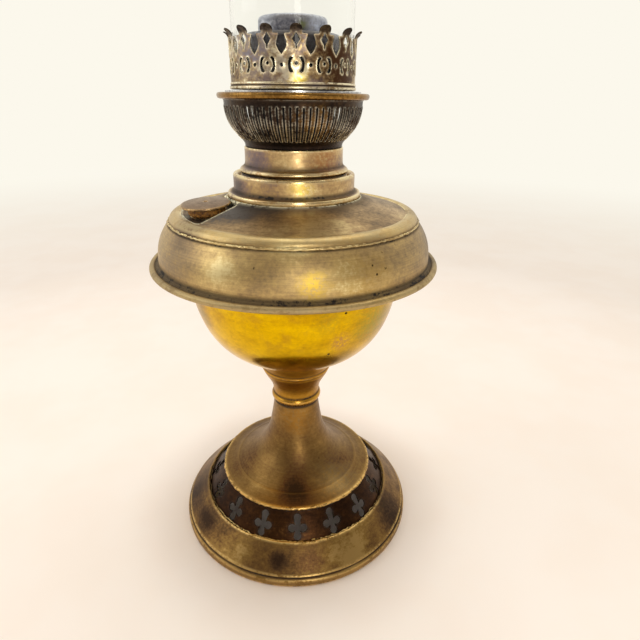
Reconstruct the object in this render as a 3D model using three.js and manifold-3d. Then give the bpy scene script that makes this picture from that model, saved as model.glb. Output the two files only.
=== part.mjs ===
// Centre-draught oil table lamp in brass: pierced foot, hollow stem, drop-bowl font, filler cap,
// screwed round-wick burner, crown gallery, flame spreader and glass chimney.
// Millimetres, +Z up, origin at the centre of the foot's resting edge, winder knob at +Y.

import * as THREE from 'three';
import { mergeVertices } from 'three/addons/utils/BufferGeometryUtils.js';
import Module from 'manifold-3d';

const wasm = await Module();
wasm.setup();

// ---- driving dimensions -------------------------------------------------------------------
const GAP = 0.3;                 // clearance where two pieces touch
const SHEET = 1.2;               // spun brass sheet of the foot and the font

const FOOT_R = 82.6;             // rolled edge of the foot
const SKIRT_TOP = { r: 66.9, z: 21.1 };
const CONE_EDGE = { r: 53.6, z: 36.2 };
const CONE_TOP_Z = 90.9;
const VENT_COUNT = 16;
const VENT_ARM = 4.4;            // width of a cross arm
const VENT_REACH = { side: 6.3, up: 8.8, down: 7.2 };
const VENT_CENTRE = 0.47;        // how far up the vent band the crosses' middles lie

const BORE_R = 13.3;             // bore of the stem pieces, round the tie tube
const SOCKET_TOP_Z = 126.1;
const BOWL_FLOOR_Z = SOCKET_TOP_Z + GAP;
const FLANGE_R = 86.3;           // widest rim of the font
const FLANGE_Z = 192.5;
const SHOULDER = { r: 65.8, z: 222.2 };
const PLATEAU_Z = 229.7;         // flat ring under the collar
const COLLAR_BORE_R = 31.4;

const CAP_AZIMUTH = 200;         // degrees, seen from above, from +X
const CAP_OFFSET = 51.8;
const CAP_R = 13.9;
const POCKET_FLOOR_Z = 221.6;
const POCKET_HALF_ANGLE = 20.7;
const POCKET_INNER_R = 38;
const POCKET_OUTER_R = SHOULDER.r - 0.6;
const FILLER_LEAN = 5;           // degrees that the filler leans over, towards FILLER_LEAN_AZIMUTH
const FILLER_LEAN_AZIMUTH = 235;
const NECK = { inner: 7.8, outer: 9.4, bottom: -7.6, top: 1.4 };   // heights above the pocket's floor
const WASHER = { outer: 10.4, top: 5.9 };

const DRAUGHT = { inner: 17.9, outer: 18.7, top: 309.2 };
const WICK = { inner: 19.0, outer: 21.3, bottom: 200, top: 305 };
const OUTER_TUBE = { inner: 21.7, outer: 22.5, mouth: 24.4, top: 311.7 };
const SPREADER = { r: 18, skirt: 17.5, seat: 309.5, top: 319.7 };

const BAND_R = 28;               // plain band of the burner body
const BAND_TOP_Z = 257.5;
const BASKET_BOTTOM_Z = BAND_TOP_Z + GAP;
const BASKET_RIM_R = 41.4;
const SLOT_COUNT = 36;
const DECK_Z = 284.6;

const GALLERY_Z = 286.0;
const GALLERY_R = { inner: 32.6, outer: 33.3 };
const TINE_COUNT = 15;
const TINE_PHASE = 2.5;          // degrees that the front tine stands to the right
const CHIMNEY = { r: 32, glass: 2, bottom: 287.6, neck: 24.2, top: 548 };

const SPINDLE_Z = 254;
const SPINDLE_R = 1.5;
const PITCH_R = 4;               // pinion pitch radius
const PINION_TEETH = 8;
const RACK_Y = { near: 22.9, far: 25.0 };
const KNOB = { r: 9, near: 34.5, far: 42.2 };

const SEG = { large: 36, medium: 28, small: 20, slotted: SLOT_COUNT, tine: TINE_COUNT * 2 };

// ---- colours and finishes -------------------------------------------------------------------
const metal = (color, roughness) => new THREE.MeshStandardMaterial({ color, roughness, metalness: 1 });
const MATERIALS = {
  footBrass: metal(0x7c6136, 0.42),
  stemBrass: metal(0xa07a38, 0.34),
  bowlBrass: metal(0xd8a41c, 0.18),
  fontBrass: metal(0xa58f5f, 0.4),
  collarBrass: metal(0xb59662, 0.36),
  basketBrass: metal(0x6d5434, 0.45),
  galleryBrass: metal(0x9a7b4c, 0.4),
  capBrass: metal(0x7d6040, 0.46),
  nickel: metal(0xb9bac2, 0.3),
  greyTin: metal(0x8b8c96, 0.42),
  cork: new THREE.MeshStandardMaterial({ color: 0xb07a34, roughness: 0.9, metalness: 0 }),
  cotton: new THREE.MeshStandardMaterial({ color: 0xcfc4a8, roughness: 1, metalness: 0 }),
  glass: new THREE.MeshStandardMaterial({
    color: 0xf2f6f2, roughness: 0.03, metalness: 0, transparent: true, opacity: 0.25,
  }),
};

// ---- helpers ----------------------------------------------------------------------------------
const radians = THREE.MathUtils.degToRad;

// A closed ring or a solid of revolution about Z from (radius, height) points.
function lathe(points, segments) {
  const onAxis = points[0][0] === 0;
  const outline = onAxis ? points : [...points, points[0]];
  const profile = outline.map(([r, z]) => new THREE.Vector2(r, z));
  return new THREE.LatheGeometry(profile, segments).rotateX(Math.PI / 2);
}

// Upright tube with a rectangular section.
function tube(inner, outer, bottom, top, segments) {
  return lathe([[inner, bottom], [outer, bottom], [outer, top], [inner, top]], segments);
}

function prism(outline, depth) {
  const shape = new THREE.Shape(outline.map(([x, y]) => new THREE.Vector2(x, y)));
  return new THREE.ExtrudeGeometry(shape, { depth, bevelEnabled: false, curveSegments: 8 });
}

function box(x0, x1, y0, y1, z0, z1) {
  const geometry = new THREE.BoxGeometry(x1 - x0, y1 - y0, z1 - z0);
  return geometry.translate((x0 + x1) / 2, (y0 + y1) / 2, (z0 + z1) / 2);
}

function cylinder(radius, length, segments) {
  return new THREE.CylinderGeometry(radius, radius, length, segments).rotateX(Math.PI / 2);
}

// Manifold solid of a closed geometry; triangles that vanish at the axis are left out.
function solid(geometry) {
  const bare = geometry.clone();
  bare.deleteAttribute('normal');
  bare.deleteAttribute('uv');
  const merged = mergeVertices(bare, 1e-4);
  const index = merged.index.array;
  const kept = [];
  for (let i = 0; i < index.length; i += 3) {
    const [a, b, c] = [index[i], index[i + 1], index[i + 2]];
    if (a !== b && b !== c && c !== a) kept.push(a, b, c);
  }
  const vertProperties = new Float32Array(merged.attributes.position.array);
  const make = (triVerts) => new wasm.Manifold(new wasm.Mesh({ numProp: 3, vertProperties, triVerts }));
  const outward = make(new Uint32Array(kept));
  if (outward.volume() > 0) return outward;
  return make(new Uint32Array(kept.reverse()));
}

function unite(parts) {
  return parts.reduce((whole, part) => whole.add(part));
}

function geometryOf(manifold) {
  const mesh = manifold.getMesh();
  const geometry = new THREE.BufferGeometry();
  geometry.setAttribute('position', new THREE.BufferAttribute(new Float32Array(mesh.vertProperties), 3));
  geometry.setIndex(new THREE.BufferAttribute(new Uint32Array(mesh.triVerts), 1));
  return geometry;
}

const lamp = new THREE.Group();

function add(name, shape, material, group = lamp) {
  const manifold = shape.isBufferGeometry ? solid(shape) : shape;
  const mesh = new THREE.Mesh(geometryOf(manifold), material);
  mesh.name = name;
  group.add(mesh);
  return mesh;
}

// Frame that stands on a cone-like wall: x round the lamp, y up the slope, z out of the surface.
function wallFrame(azimuth, r, z, slope) {
  const out = new THREE.Vector3(Math.cos(azimuth), Math.sin(azimuth), 0);
  const round = new THREE.Vector3(-Math.sin(azimuth), Math.cos(azimuth), 0);
  const up = out.clone().multiplyScalar(-Math.sin(slope)).setZ(Math.cos(slope));
  const normal = new THREE.Vector3().crossVectors(round, up);
  const matrix = new THREE.Matrix4().makeBasis(round, up, normal);
  return matrix.setPosition(out.multiplyScalar(r).setZ(z));
}

// ---- foot and stem ------------------------------------------------------------------------------
function footSkirt() {
  const { r, z } = SKIRT_TOP;
  return lathe([
    [79.2, 0], [FOOT_R - 0.9, 0], [FOOT_R, 1.6], [FOOT_R, 4.2], [80.9, 6.7], [74.8, 13.8],
    [r, z], [r - 0.8, z + 0.3], [r - 1.2, z - 0.5], [r - 0.6, z - 1.6], [73.4, 13.2], [79.2, 5.6],
  ], SEG.large);
}

function ventRing() {
  const low = { r: 65.4, z: 18.8 };
  const high = { r: CONE_EDGE.r - 1.3, z: CONE_EDGE.z - 1.6 };
  const slope = Math.atan2(low.r - high.r, high.z - low.z);
  const sheet = [0.9 * Math.cos(slope), 0.9 * Math.sin(slope)];
  const band = lathe([
    [low.r, low.z], [high.r, high.z],
    [high.r - sheet[0], high.z - sheet[1]], [low.r - sheet[0], low.z - sheet[1]],
  ], SEG.large);
  const h = VENT_ARM / 2;
  const { side, up, down } = VENT_REACH;
  const cross = [
    [-h, -down], [h, -down], [h, -h], [side, -h], [side, h], [h, h],
    [h, up], [-h, up], [-h, h], [-side, h], [-side, -h], [-h, -h],
  ];
  const middle = {
    r: low.r + (high.r - low.r) * VENT_CENTRE,
    z: low.z + (high.z - low.z) * VENT_CENTRE,
  };
  const cutters = [];
  for (let i = 0; i < VENT_COUNT; i += 1) {
    const azimuth = radians(-90 + (360 / VENT_COUNT) * i);
    const cutter = prism(cross, 8).translate(0, 0, -4);
    cutters.push(solid(cutter.applyMatrix4(wallFrame(azimuth, middle.r, middle.z, slope))));
  }
  return solid(band).subtract(unite(cutters));
}

function stemCone() {
  const { r, z } = CONE_EDGE;
  return lathe([
    [r - 0.9, z - 1.0], [r + 0.2, z - 0.6], [r + 0.3, z + 0.4], [r - 0.8, z + 0.9],
    [45, 39.6], [38, 43], [31, 48], [25.6, 54], [21.8, 61], [17.9, 74], [15.4, CONE_TOP_Z],
    [14.0, CONE_TOP_Z], [16.5, 73.6], [20.4, 60], [24.6, 52.6], [30.2, 46.8], [37.4, 41.8], [44.6, 38.4],
  ], SEG.medium);
}

function bowlSocket() {
  return lathe([
    [BORE_R, 91.2], [15.6, 91.2], [16.9, 92.8], [16.9, 94.8], [15.9, 96.8], [16.3, 101.6],
    [17.1, 104.2], [18.8, 107.5], [20.7, 110.8], [22.4, 114.2], [23.3, 115.9], [23.3, 117.3],
    [25.0, 122], [26.4, SOCKET_TOP_Z], [BORE_R, SOCKET_TOP_Z],
  ], SEG.medium);
}

// Tie tube: clamps foot, cone, socket and bowl between its flange and the nut.
function stemTube() {
  const flange = BOWL_FLOOR_Z + SHEET + GAP;
  return lathe([
    [11.6, 22], [12.9, 22], [12.9, flange], [20, flange], [20, flange + 1.5], [11.6, flange + 1.5],
  ], SEG.small);
}

function footSpider() {
  const bar = box(-48, 48, -16.5, 16.5, 31.6, 34);
  return solid(bar).subtract(solid(cylinder(BORE_R, 8, SEG.small).translate(0, 0, 33)));
}

function tieNut() {
  const hexagon = cylinder(19.5, 5.5, 6).translate(0, 0, 28.5);
  return solid(hexagon).subtract(solid(cylinder(BORE_R, 8, SEG.small).translate(0, 0, 28.5)));
}

// ---- font -----------------------------------------------------------------------------------------
function bowl() {
  const floor = BOWL_FLOOR_Z;
  return lathe([
    [BORE_R, floor], [27, floor], [40, 132.8], [47.5, 138.8], [54, 146.7], [59.2, 156.6], [62.6, 167.6],
    [64.8, 179], [68.4, 186], [75.8, 187], [75.8, 189], [68.6, 188.6], [63.5, 179.4], [61.3, 168],
    [57.9, 157.3], [52.9, 147.6], [46.6, 139.9], [39.3, 134.0], [26.5, floor + SHEET],
    [BORE_R, floor + SHEET],
  ], SEG.large);
}

// Upper shell: rolled flange, bellied wall, crimped bead, conical shoulder and the level pocket
// that is stamped into the shoulder for the filler cap.
function fontShell() {
  const upper = [
    [0, PLATEAU_Z], [39.2, PLATEAU_Z], [SHOULDER.r, SHOULDER.z], [69, 222.8], [71.8, 221.2],
    [73, 217.9], [77.3, 211.4], [80.2, 203], [81.2, 195.2], [85.6, 193.9], [FLANGE_R, FLANGE_Z],
    [85.2, 190.3],
  ];
  const lower = [
    [0, PLATEAU_Z - SHEET], [39, PLATEAU_Z - SHEET], [65.6, SHOULDER.z - SHEET], [69.4, 221],
    [71.6, 217.3], [75.9, 210.8], [78.8, 202.7], [79.7, 195], [79.4, 190.3],
  ];
  const outside = solid(lathe([...upper, [0, 190.3]], SEG.large));
  const inside = solid(lathe([...lower, [79.4, 180], [0, 180]], SEG.large));
  const above = PLATEAU_Z + 10;
  const pocket = sector(POCKET_INNER_R, POCKET_OUTER_R, POCKET_HALF_ANGLE, POCKET_FLOOR_Z, above);
  const backing = sector(
    POCKET_INNER_R - SHEET, POCKET_OUTER_R + SHEET, POCKET_HALF_ANGLE + 1.3, POCKET_FLOOR_Z - SHEET, above,
  );
  const shell = outside.subtract(inside).add(backing.intersect(outside)).subtract(pocket);
  const mouth = solid(cylinder(COLLAR_BORE_R + 0.5, 30, SEG.medium).translate(0, 0, PLATEAU_Z));
  const hole = solid(cylinder(NECK.outer + GAP, 12, SEG.small).translate(...capCentre(), POCKET_FLOOR_Z));
  return shell.subtract(mouth).subtract(hole);
}

// Solid sector of a ring about the lamp's axis, centred on the filler cap.
function sector(inner, outer, halfAngle, bottom, top) {
  const steps = 8;
  const angles = Array.from({ length: steps + 1 }, (_, i) => (
    CAP_AZIMUTH + halfAngle * ((2 * i) / steps - 1)
  ));
  const far = angles.map((angle) => polar(outer, angle));
  const near = angles.map((angle) => polar(inner, angle)).reverse();
  return solid(prism([...far, ...near], top - bottom).translate(0, 0, bottom));
}

function polar(r, degrees) {
  return [r * Math.cos(radians(degrees)), r * Math.sin(radians(degrees))];
}

function capCentre() {
  return polar(CAP_OFFSET, CAP_AZIMUTH);
}

function draughtTube() {
  const seat = BOWL_FLOOR_Z + SHEET + GAP + 1.5 + GAP;
  return tube(DRAUGHT.inner, DRAUGHT.outer, seat, DRAUGHT.top, SEG.small);
}

function fontCollar() {
  const base = PLATEAU_Z + GAP;
  return lathe([
    [COLLAR_BORE_R, base], [38.3, base], [38.6, base + 1.2], [38.3, base + 3.1], [35.7, base + 4],
    [35.1, base + 4.6], [35.1, 242.1], [34.3, 243.3], [32.6, 243.5], [COLLAR_BORE_R, 242.6],
  ], SEG.medium);
}

// ---- filler ------------------------------------------------------------------------------------------
// Neck, cork washer and cap share an axis that leans over; their heights start at the pocket's floor.
const filler = new THREE.Group();
const leanAxis = new THREE.Vector3(...polar(1, FILLER_LEAN_AZIMUTH + 90), 0);
filler.position.set(...capCentre(), POCKET_FLOOR_Z);
filler.quaternion.setFromAxisAngle(leanAxis, radians(FILLER_LEAN));
lamp.add(filler);

function fillerNeck() {
  return tube(NECK.inner, NECK.outer, NECK.bottom, NECK.top, SEG.small);
}

function fillerWasher() {
  return tube(NECK.inner, WASHER.outer, NECK.top + GAP, WASHER.top, SEG.small);
}

function fillerCap() {
  const under = WASHER.top + GAP;
  const plug = NECK.inner - 0.4;
  return lathe([
    [0, -4.6], [plug - 0.6, -4.6], [plug, -3.8], [plug, under], [CAP_R - 0.4, under],
    [CAP_R, under + 0.5], [CAP_R - 0.2, under + 1.1], [CAP_R - 1.5, under + 1.5],
    [1.2, under + 1.9], [0, under + 1.9],
  ], SEG.small);
}

// ---- burner -----------------------------------------------------------------------------------------
function burnerBase() {
  const body = lathe([
    [29.4, 236], [30.9, 236], [30.9, 242.4], [29.9, 243.4], [30.7, 244.2], [31, 245.2], [30.2, 246.8],
    [28.6, 247.8], [BAND_R, 249], [BAND_R, 256.6], [27.6, BAND_TOP_Z], [26.9, BAND_TOP_Z],
    [26.9, 248.4], [22.8, 248.4], [22.8, 247], [28.4, 246.6], [29.4, 245],
  ], SEG.medium);
  const rackSlot = solid(box(2.6, 7.9, 21, 25.6, 245, 250));
  const spindleHole = cylinder(SPINDLE_R + 0.4, 8, 12).rotateX(Math.PI / 2).translate(0, BAND_R, SPINDLE_Z);
  return solid(body).subtract(rackSlot).subtract(solid(spindleHole));
}

function basket() {
  const bottom = BASKET_BOTTOM_Z;
  const wall = lathe([
    [26.7, bottom], [27.4, bottom], [28.4, 260.4], [34.8, 268.8], [37.7, 276.8], [38.1, 281.2],
    [BASKET_RIM_R, 282.2], [BASKET_RIM_R, 284.1], [38.8, 284.7], [37.2, 282.8], [36.8, 277],
    [34, 269.4], [27.7, 261],
  ], SEG.slotted);
  const slots = [];
  for (let i = 0; i < SLOT_COUNT; i += 1) {
    const slot = box(25, 45, -0.9, 0.9, 263, 276.4).rotateZ(radians((360 / SLOT_COUNT) * (i + 0.5)));
    slots.push(solid(slot));
  }
  return solid(wall).subtract(unite(slots));
}

function outerWickTube() {
  const { inner, outer, mouth, top } = OUTER_TUBE;
  return lathe([
    [inner, 248.7], [outer, 248.7], [outer, 297], [mouth, 301], [mouth, top], [mouth - 0.8, top],
    [mouth - 0.8, 301.4], [inner, 297.4],
  ], SEG.small);
}

// Ring that grips the foot of the wick, with a rack that rises behind the outer tube.
function wickCarrier() {
  const ring = solid(tube(WICK.outer + GAP, WICK.outer + 2, 226, 234, SEG.small));
  const { near, far } = RACK_Y;
  const foot = solid(box(3.6, 7.4, 21.9, far, 226, 236));
  const bar = solid(box(PITCH_R + 1, 7.4, near, far, 226, 262));
  const teeth = [];
  const pitch = (2 * Math.PI * PITCH_R) / PINION_TEETH;
  for (let i = -5; i <= 2; i += 1) {
    const z = SPINDLE_Z + i * pitch;
    const root = PITCH_R + 1.2;
    const outline = [[root, z - 0.85], [root, z + 0.85], [3.2, z + 0.25], [3.2, z - 0.25]];
    const tooth = prism(outline, far - near).rotateX(Math.PI / 2).translate(0, far, 0);
    teeth.push(solid(tooth));
  }
  return unite([ring, foot, bar, ...teeth]);
}

// Pinion and spindle in one, lying along +Y.
function wickPinion() {
  const outline = [];
  for (let i = 0; i < PINION_TEETH; i += 1) {
    const centre = ((i + 0.5) * 360) / PINION_TEETH;
    const [root, tip] = [2.8, 4.7];
    outline.push(polar(root, centre - 17), polar(tip, centre - 4));
    outline.push(polar(tip, centre + 4), polar(root, centre + 17));
  }
  const { near, far } = RACK_Y;
  const gear = solid(prism(outline, far - near).rotateX(-Math.PI / 2).translate(0, near, SPINDLE_Z));
  const length = 40.4 - near;
  const spindle = cylinder(SPINDLE_R, length, 12).rotateX(Math.PI / 2);
  return gear.add(solid(spindle.translate(0, near + length / 2, SPINDLE_Z)));
}

function spindleGland() {
  const nut = cylinder(3.9, 5, 6).rotateX(Math.PI / 2).translate(0, 30.9, SPINDLE_Z);
  const bore = cylinder(SPINDLE_R + 0.3, 8, 12).rotateX(Math.PI / 2).translate(0, 30.9, SPINDLE_Z);
  return solid(nut).subtract(solid(bore));
}

function wickKnob() {
  const { r, near, far } = KNOB;
  const bore = SPINDLE_R + 0.3;
  const profile = [
    [0, far], [r - 1.2, far - 0.4], [r, far - 1.2], [r, far - 3], [r - 1, far - 3.8], [3.6, 37.4],
    [3.2, near], [bore, near], [bore, 40.8], [0, 40.8],
  ];
  return lathe(profile, SEG.small).rotateX(-Math.PI / 2).translate(0, 0, SPINDLE_Z);
}

// ---- gallery, spreader and chimney ---------------------------------------------------------------
function gallery() {
  const { inner, outer } = GALLERY_R;
  const bottom = GALLERY_Z;
  const phase = -90 + TINE_PHASE;
  const wall = lathe([
    [30, bottom], [33.6, bottom], [34, bottom + 1], [outer, bottom + 2.2], [outer, 309.8],
    [36.3, 312.9], [35.7, 313.5], [inner, 310.4], [inner, bottom + 1.3], [30, bottom + 1.3],
  ], SEG.tine).rotateZ(radians(phase));
  const half = (Math.PI * outer) / TINE_COUNT;
  const lobe = half - 3.1;
  const notch = [
    [0, 300.8], [2.6, 304.6], [1.5, 309.2], [lobe, 311], [lobe, 312.8], [lobe + 1.2, 318],
    [-lobe - 1.2, 318], [-lobe, 312.8], [-lobe, 311], [-1.5, 309.2], [-2.6, 304.6],
  ];
  const diamond = [[0, 304.2], [1.9, 307.2], [0, 310], [-1.9, 307.2]];
  const hook = (s) => [
    [s * 2.4, 293.8], [s * 4, 295.2], [s * 4, 298.2], [s * 2.4, 299.6],
  ];
  const cuts = [];
  const cut = (outline, degrees) => {
    const cutter = prism(outline, 14).applyMatrix4(wallFrame(radians(degrees), 27, 0, 0));
    cuts.push(solid(cutter));
  };
  for (let i = 0; i < TINE_COUNT; i += 1) {
    const tine = phase + (360 / TINE_COUNT) * i;
    cut(diamond, tine);
    cut(hook(1), tine);
    cut(hook(-1), tine);
    cut(notch, tine + 180 / TINE_COUNT);
  }
  return solid(wall).subtract(unite(cuts));
}

function flameSpreader() {
  const { r, skirt, seat, top } = SPREADER;
  return lathe([
    [0, top], [r - 1.6, top], [r - 0.4, top - 0.6], [r, top - 1.8], [r, seat + 0.7],
    [DRAUGHT.outer, seat + 0.6], [DRAUGHT.outer, seat], [skirt, seat], [skirt, 299], [skirt - 0.8, 299],
    [skirt - 0.8, top - 1.9], [0, top - 1.4],
  ], SEG.medium);
}

function chimney() {
  const { r, glass, bottom, neck, top } = CHIMNEY;
  const outside = [
    [r, bottom], [r, 350], [r - 1, 359], [r - 3.4, 369], [r - 5.4, 379], [neck + 1, 392], [neck, top - 1],
  ];
  const inside = outside.map(([x, z], i) => [x - glass, i === 0 ? z : z - 0.6]).reverse();
  return lathe([...outside, [neck - glass / 2, top], ...inside], SEG.medium);
}

// ---- assembly ----------------------------------------------------------------------------------------
const m = MATERIALS;
add('foot_skirt', footSkirt(), m.footBrass);
add('vent_ring', ventRing(), m.footBrass);
add('stem_cone', stemCone(), m.footBrass);
add('bowl_socket', bowlSocket(), m.stemBrass);
add('stem_tube', stemTube(), m.stemBrass);
add('foot_spider', footSpider(), m.footBrass);
add('tie_nut', tieNut(), m.stemBrass);

add('bowl', bowl(), m.bowlBrass);
add('font_shell', fontShell(), m.fontBrass);
add('draught_tube', draughtTube(), m.greyTin);
add('font_collar', fontCollar(), m.collarBrass);

add('filler_neck', fillerNeck(), m.collarBrass, filler);
add('filler_washer', fillerWasher(), m.cork, filler);
add('filler_cap', fillerCap(), m.capBrass, filler);

add('burner_base', burnerBase(), m.collarBrass);
add('basket', basket(), m.basketBrass);
add('burner_deck', tube(OUTER_TUBE.outer + 0.4, 36.7, DECK_Z, DECK_Z + 0.9, SEG.medium), m.nickel);
add('outer_wick_tube', outerWickTube(), m.greyTin);
add('wick', tube(WICK.inner, WICK.outer, WICK.bottom, WICK.top, SEG.small), m.cotton);
add('wick_carrier', wickCarrier(), m.collarBrass);
add('wick_pinion', wickPinion(), m.collarBrass);
add('spindle_gland', spindleGland(), m.collarBrass);
add('wick_knob', wickKnob(), m.capBrass);

add('gallery', gallery(), m.galleryBrass);
add('flame_spreader', flameSpreader(), m.nickel);
add('chimney', chimney(), m.glass);

export default lamp;
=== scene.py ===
"""Centre-draught oil lamp: fine surfaces and aged-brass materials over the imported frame.

Outlines are (radius, height) points in millimetres about the lamp's axis, and are turned to metres
when a mesh is made. Heights and radii that the frame knows are read from it.
"""
import functools
import math

import bmesh
import bpy
import numpy as np
from mathutils import Matrix, Vector, noise
from mathutils.geometry import delaunay_2d_cdt


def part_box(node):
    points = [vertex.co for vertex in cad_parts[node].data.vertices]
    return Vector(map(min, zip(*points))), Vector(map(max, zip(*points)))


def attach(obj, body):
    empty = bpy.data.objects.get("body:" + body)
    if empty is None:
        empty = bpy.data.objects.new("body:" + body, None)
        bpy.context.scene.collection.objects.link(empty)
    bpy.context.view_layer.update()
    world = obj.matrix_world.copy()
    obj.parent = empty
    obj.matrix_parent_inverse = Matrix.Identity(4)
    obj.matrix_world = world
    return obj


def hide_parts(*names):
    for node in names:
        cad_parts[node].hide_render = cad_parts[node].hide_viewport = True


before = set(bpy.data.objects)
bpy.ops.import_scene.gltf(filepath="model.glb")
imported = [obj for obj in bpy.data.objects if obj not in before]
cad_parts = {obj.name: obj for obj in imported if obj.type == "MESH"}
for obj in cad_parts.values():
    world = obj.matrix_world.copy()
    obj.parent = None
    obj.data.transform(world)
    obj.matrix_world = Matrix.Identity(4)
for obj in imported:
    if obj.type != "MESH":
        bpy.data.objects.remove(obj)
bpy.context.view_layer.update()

MM = 0.001
TAU = 2 * math.pi


def span(name):
    """(largest radius, lowest z, highest z) of a CAD node about the lamp's axis, in millimetres."""
    low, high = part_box(name)
    return (high.x - low.x) / 2 / MM, low.z / MM, high.z / MM


def around(azimuth, r, z):
    """A point on the lamp in millimetres, from its azimuth in degrees, radius and height."""
    a = math.radians(azimuth)
    return r * math.cos(a), r * math.sin(a), z


CONE_TOP = span("stem_cone")[2]
_, SOCKET_Z, SOCKET_TOP = span("bowl_socket")
PLATEAU_Z = span("font_shell")[2]
_, COLLAR_Z, COLLAR_TOP = span("font_collar")
_, BURNER_Z, BAND_TOP = span("burner_base")
_, DECK_Z, DECK_TOP = span("burner_deck")
GALLERY_Z = span("gallery")[1]
_, SPREADER_Z, SPREADER_TOP = span("flame_spreader")
CHIMNEY_R, CHIMNEY_Z, CHIMNEY_TOP = span("chimney")

VENTS = 16
SLOTS = 72
TINES = 15
TINE_PHASE = math.radians(-87.5)

# The filler leans outwards over a point on the floor of its pocket.
CAP_ANGLE = math.radians(200)
POCKET_Z = 221.6
FILLER_FOOT = Vector(around(200, 51.8, POCKET_Z))
FILLER_LEAN = Matrix.Rotation(math.radians(5), 3, around(325, 1, 0))


# ---- outlines ----
def arc(centre, radius, start, end, steps=8):
    """Points on a circle, from start to end degrees."""
    angles = np.radians(np.linspace(start, end, steps + 1))
    return [(centre[0] + radius * math.cos(a), centre[1] + radius * math.sin(a)) for a in angles]


def curve(points, steps=6):
    """A smooth curve through the points (centripetal Catmull-Rom)."""
    p = [np.array(q, float) for q in points]
    p = [2 * p[0] - p[1]] + p + [2 * p[-1] - p[-2]]
    made = [tuple(p[1])]
    for a, b, c, d in zip(p, p[1:], p[2:], p[3:]):
        t = [0.0]
        for q, r in ((a, b), (b, c), (c, d)):
            t.append(t[-1] + max(np.linalg.norm(r - q), 1e-6) ** 0.5)

        def mixed(i, j, u, v):
            return (t[j] - s) / (t[j] - t[i]) * u + (s - t[i]) / (t[j] - t[i]) * v

        for s in np.linspace(t[1], t[2], steps + 1)[1:]:
            abc = mixed(0, 2, mixed(0, 1, a, b), mixed(1, 2, b, c))
            bcd = mixed(1, 3, mixed(1, 2, b, c), mixed(2, 3, c, d))
            made.append(tuple(mixed(1, 2, abc, bcd)))
    return made


def resample(points, step, closed=False):
    """Points no further apart than step, keeping every corner."""
    ends = points + [points[0]] if closed else points
    made = []
    for a, b in zip(ends, ends[1:]):
        n = max(1, math.ceil(math.dist(a, b) / step))
        made += [(a[0] + (b[0] - a[0]) * i / n, a[1] + (b[1] - a[1]) * i / n) for i in range(n)]
    return made if closed else made + [tuple(points[-1])]


def offset(points, distance):
    """The outline moved sideways, to the left of its direction."""
    p = np.array(points, float)
    way = np.gradient(p, axis=0)
    way /= np.maximum(np.linalg.norm(way, axis=1, keepdims=True), 1e-9)
    return [tuple(q) for q in p + distance * np.stack([-way[:, 1], way[:, 0]], 1)]


def along(rail):
    """Distance up the rail of each of its points."""
    return np.concatenate([[0], np.cumsum(np.linalg.norm(np.diff(np.array(rail, float), axis=0), axis=1))])


# ---- meshes ----
class Shape:
    """Vertices in millimetres, faces, and how bright and how dark each vertex is: bared metal with painted
    highlight, and grime with painted shade.
    """

    def __init__(self, vertices, faces, wear_and_glint, grime_and_shade):
        self.vertices = np.asarray(vertices, float)
        self.faces = faces
        self.wear_and_glint = np.asarray(wear_and_glint, float)
        self.grime_and_shade = np.asarray(grime_and_shade, float)

    def on_filler(self):
        """The shape stood on the leaning axis of the filler."""
        turn = np.array(FILLER_LEAN)
        return Shape(self.vertices @ turn.T + np.array(FILLER_FOOT), self.faces, self.wear_and_glint, self.grime_and_shade)

    def laid_along_y(self, z):
        """The shape's own axis turned from +Z to +Y, at height z."""
        v = self.vertices
        turned = np.stack([v[:, 0], v[:, 2], z - v[:, 1]], 1)
        return Shape(turned, self.faces, self.wear_and_glint, self.grime_and_shade)


def signed_area(p):
    """Twice the area inside the outline, negative where it runs clockwise."""
    return (p[:, 0] * np.roll(p[:, 1], -1) - np.roll(p[:, 0], -1) * p[:, 1]).sum()


def edge_state(profile, reach=1.0):
    """Bright ridges and dark grooves of the outline, from how sharply it turns: the ridges are bared metal
    with painted highlight, the grooves grime with painted shade.
    """
    p = np.array(profile, float)
    before, after = p - np.roll(p, 1, 0), np.roll(p, -1, 0) - p
    cross = before[:, 0] * after[:, 1] - before[:, 1] * after[:, 0]
    turn = np.arctan2(cross, (before * after).sum(1))
    length = np.linalg.norm(after, axis=1)
    at = np.concatenate([[0], np.cumsum(length)[:-1]])
    whole = length.sum()
    gap = np.abs(at[:, None] - at[None, :])
    gap = np.minimum(gap, whole - gap)
    spread = (np.exp(-((gap / reach) ** 2)) * turn[None, :]).sum(1)
    spread *= math.copysign(1, signed_area(p))
    return np.clip(spread * 0.9, 0, 1), np.clip(-spread * 1.5, 0, 1)


def lathe(profile, segments=180, relief=None, reach=1.0):
    """Solid of revolution; a profile that starts at radius 0 is open there, any other is closed."""
    p = np.array(profile, float)
    p = p[np.linalg.norm(p - np.roll(p, 1, 0), axis=1) > 1e-5]
    capped = abs(p[0, 0]) < 1e-9
    wear_and_glint, grime_and_shade = edge_state(p, reach)
    angles = np.arange(segments) / segments * TAU
    ring = np.stack([np.cos(angles), np.sin(angles)], 1)
    rows = [np.column_stack([ring * r, np.full(segments, z)]) for r, z in p]
    if relief:
        for row, (r, z) in zip(rows, p):
            push = np.array([relief(a, r, z) for a in angles])
            row[:, :2] += ring * push[:, None]
    n = len(p)
    faces = []
    for i in range(n - 1 if capped else n):
        j = (i + 1) % n
        here, there = i * segments, j * segments
        for k in range(segments):
            m = (k + 1) % segments
            face = (here + k, here + m, there + m, there + k)
            if abs(p[i, 0]) < 1e-9:
                face = (here, there + m, there + k)
            if abs(p[j, 0]) < 1e-9:
                face = (here + k, here + m, there)
            faces.append(face)
    if signed_area(p) < 0:
        faces = [f[::-1] for f in faces]
    return Shape(np.concatenate(rows), faces, np.repeat(wear_and_glint, segments), np.repeat(grime_and_shade, segments))


def spun(outline, step, segments, relief=None, reach=1.0):
    """A closed outline, cut into short steps and turned round the axis."""
    return lathe(resample(outline, step, closed=True), segments, relief, reach)


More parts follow.
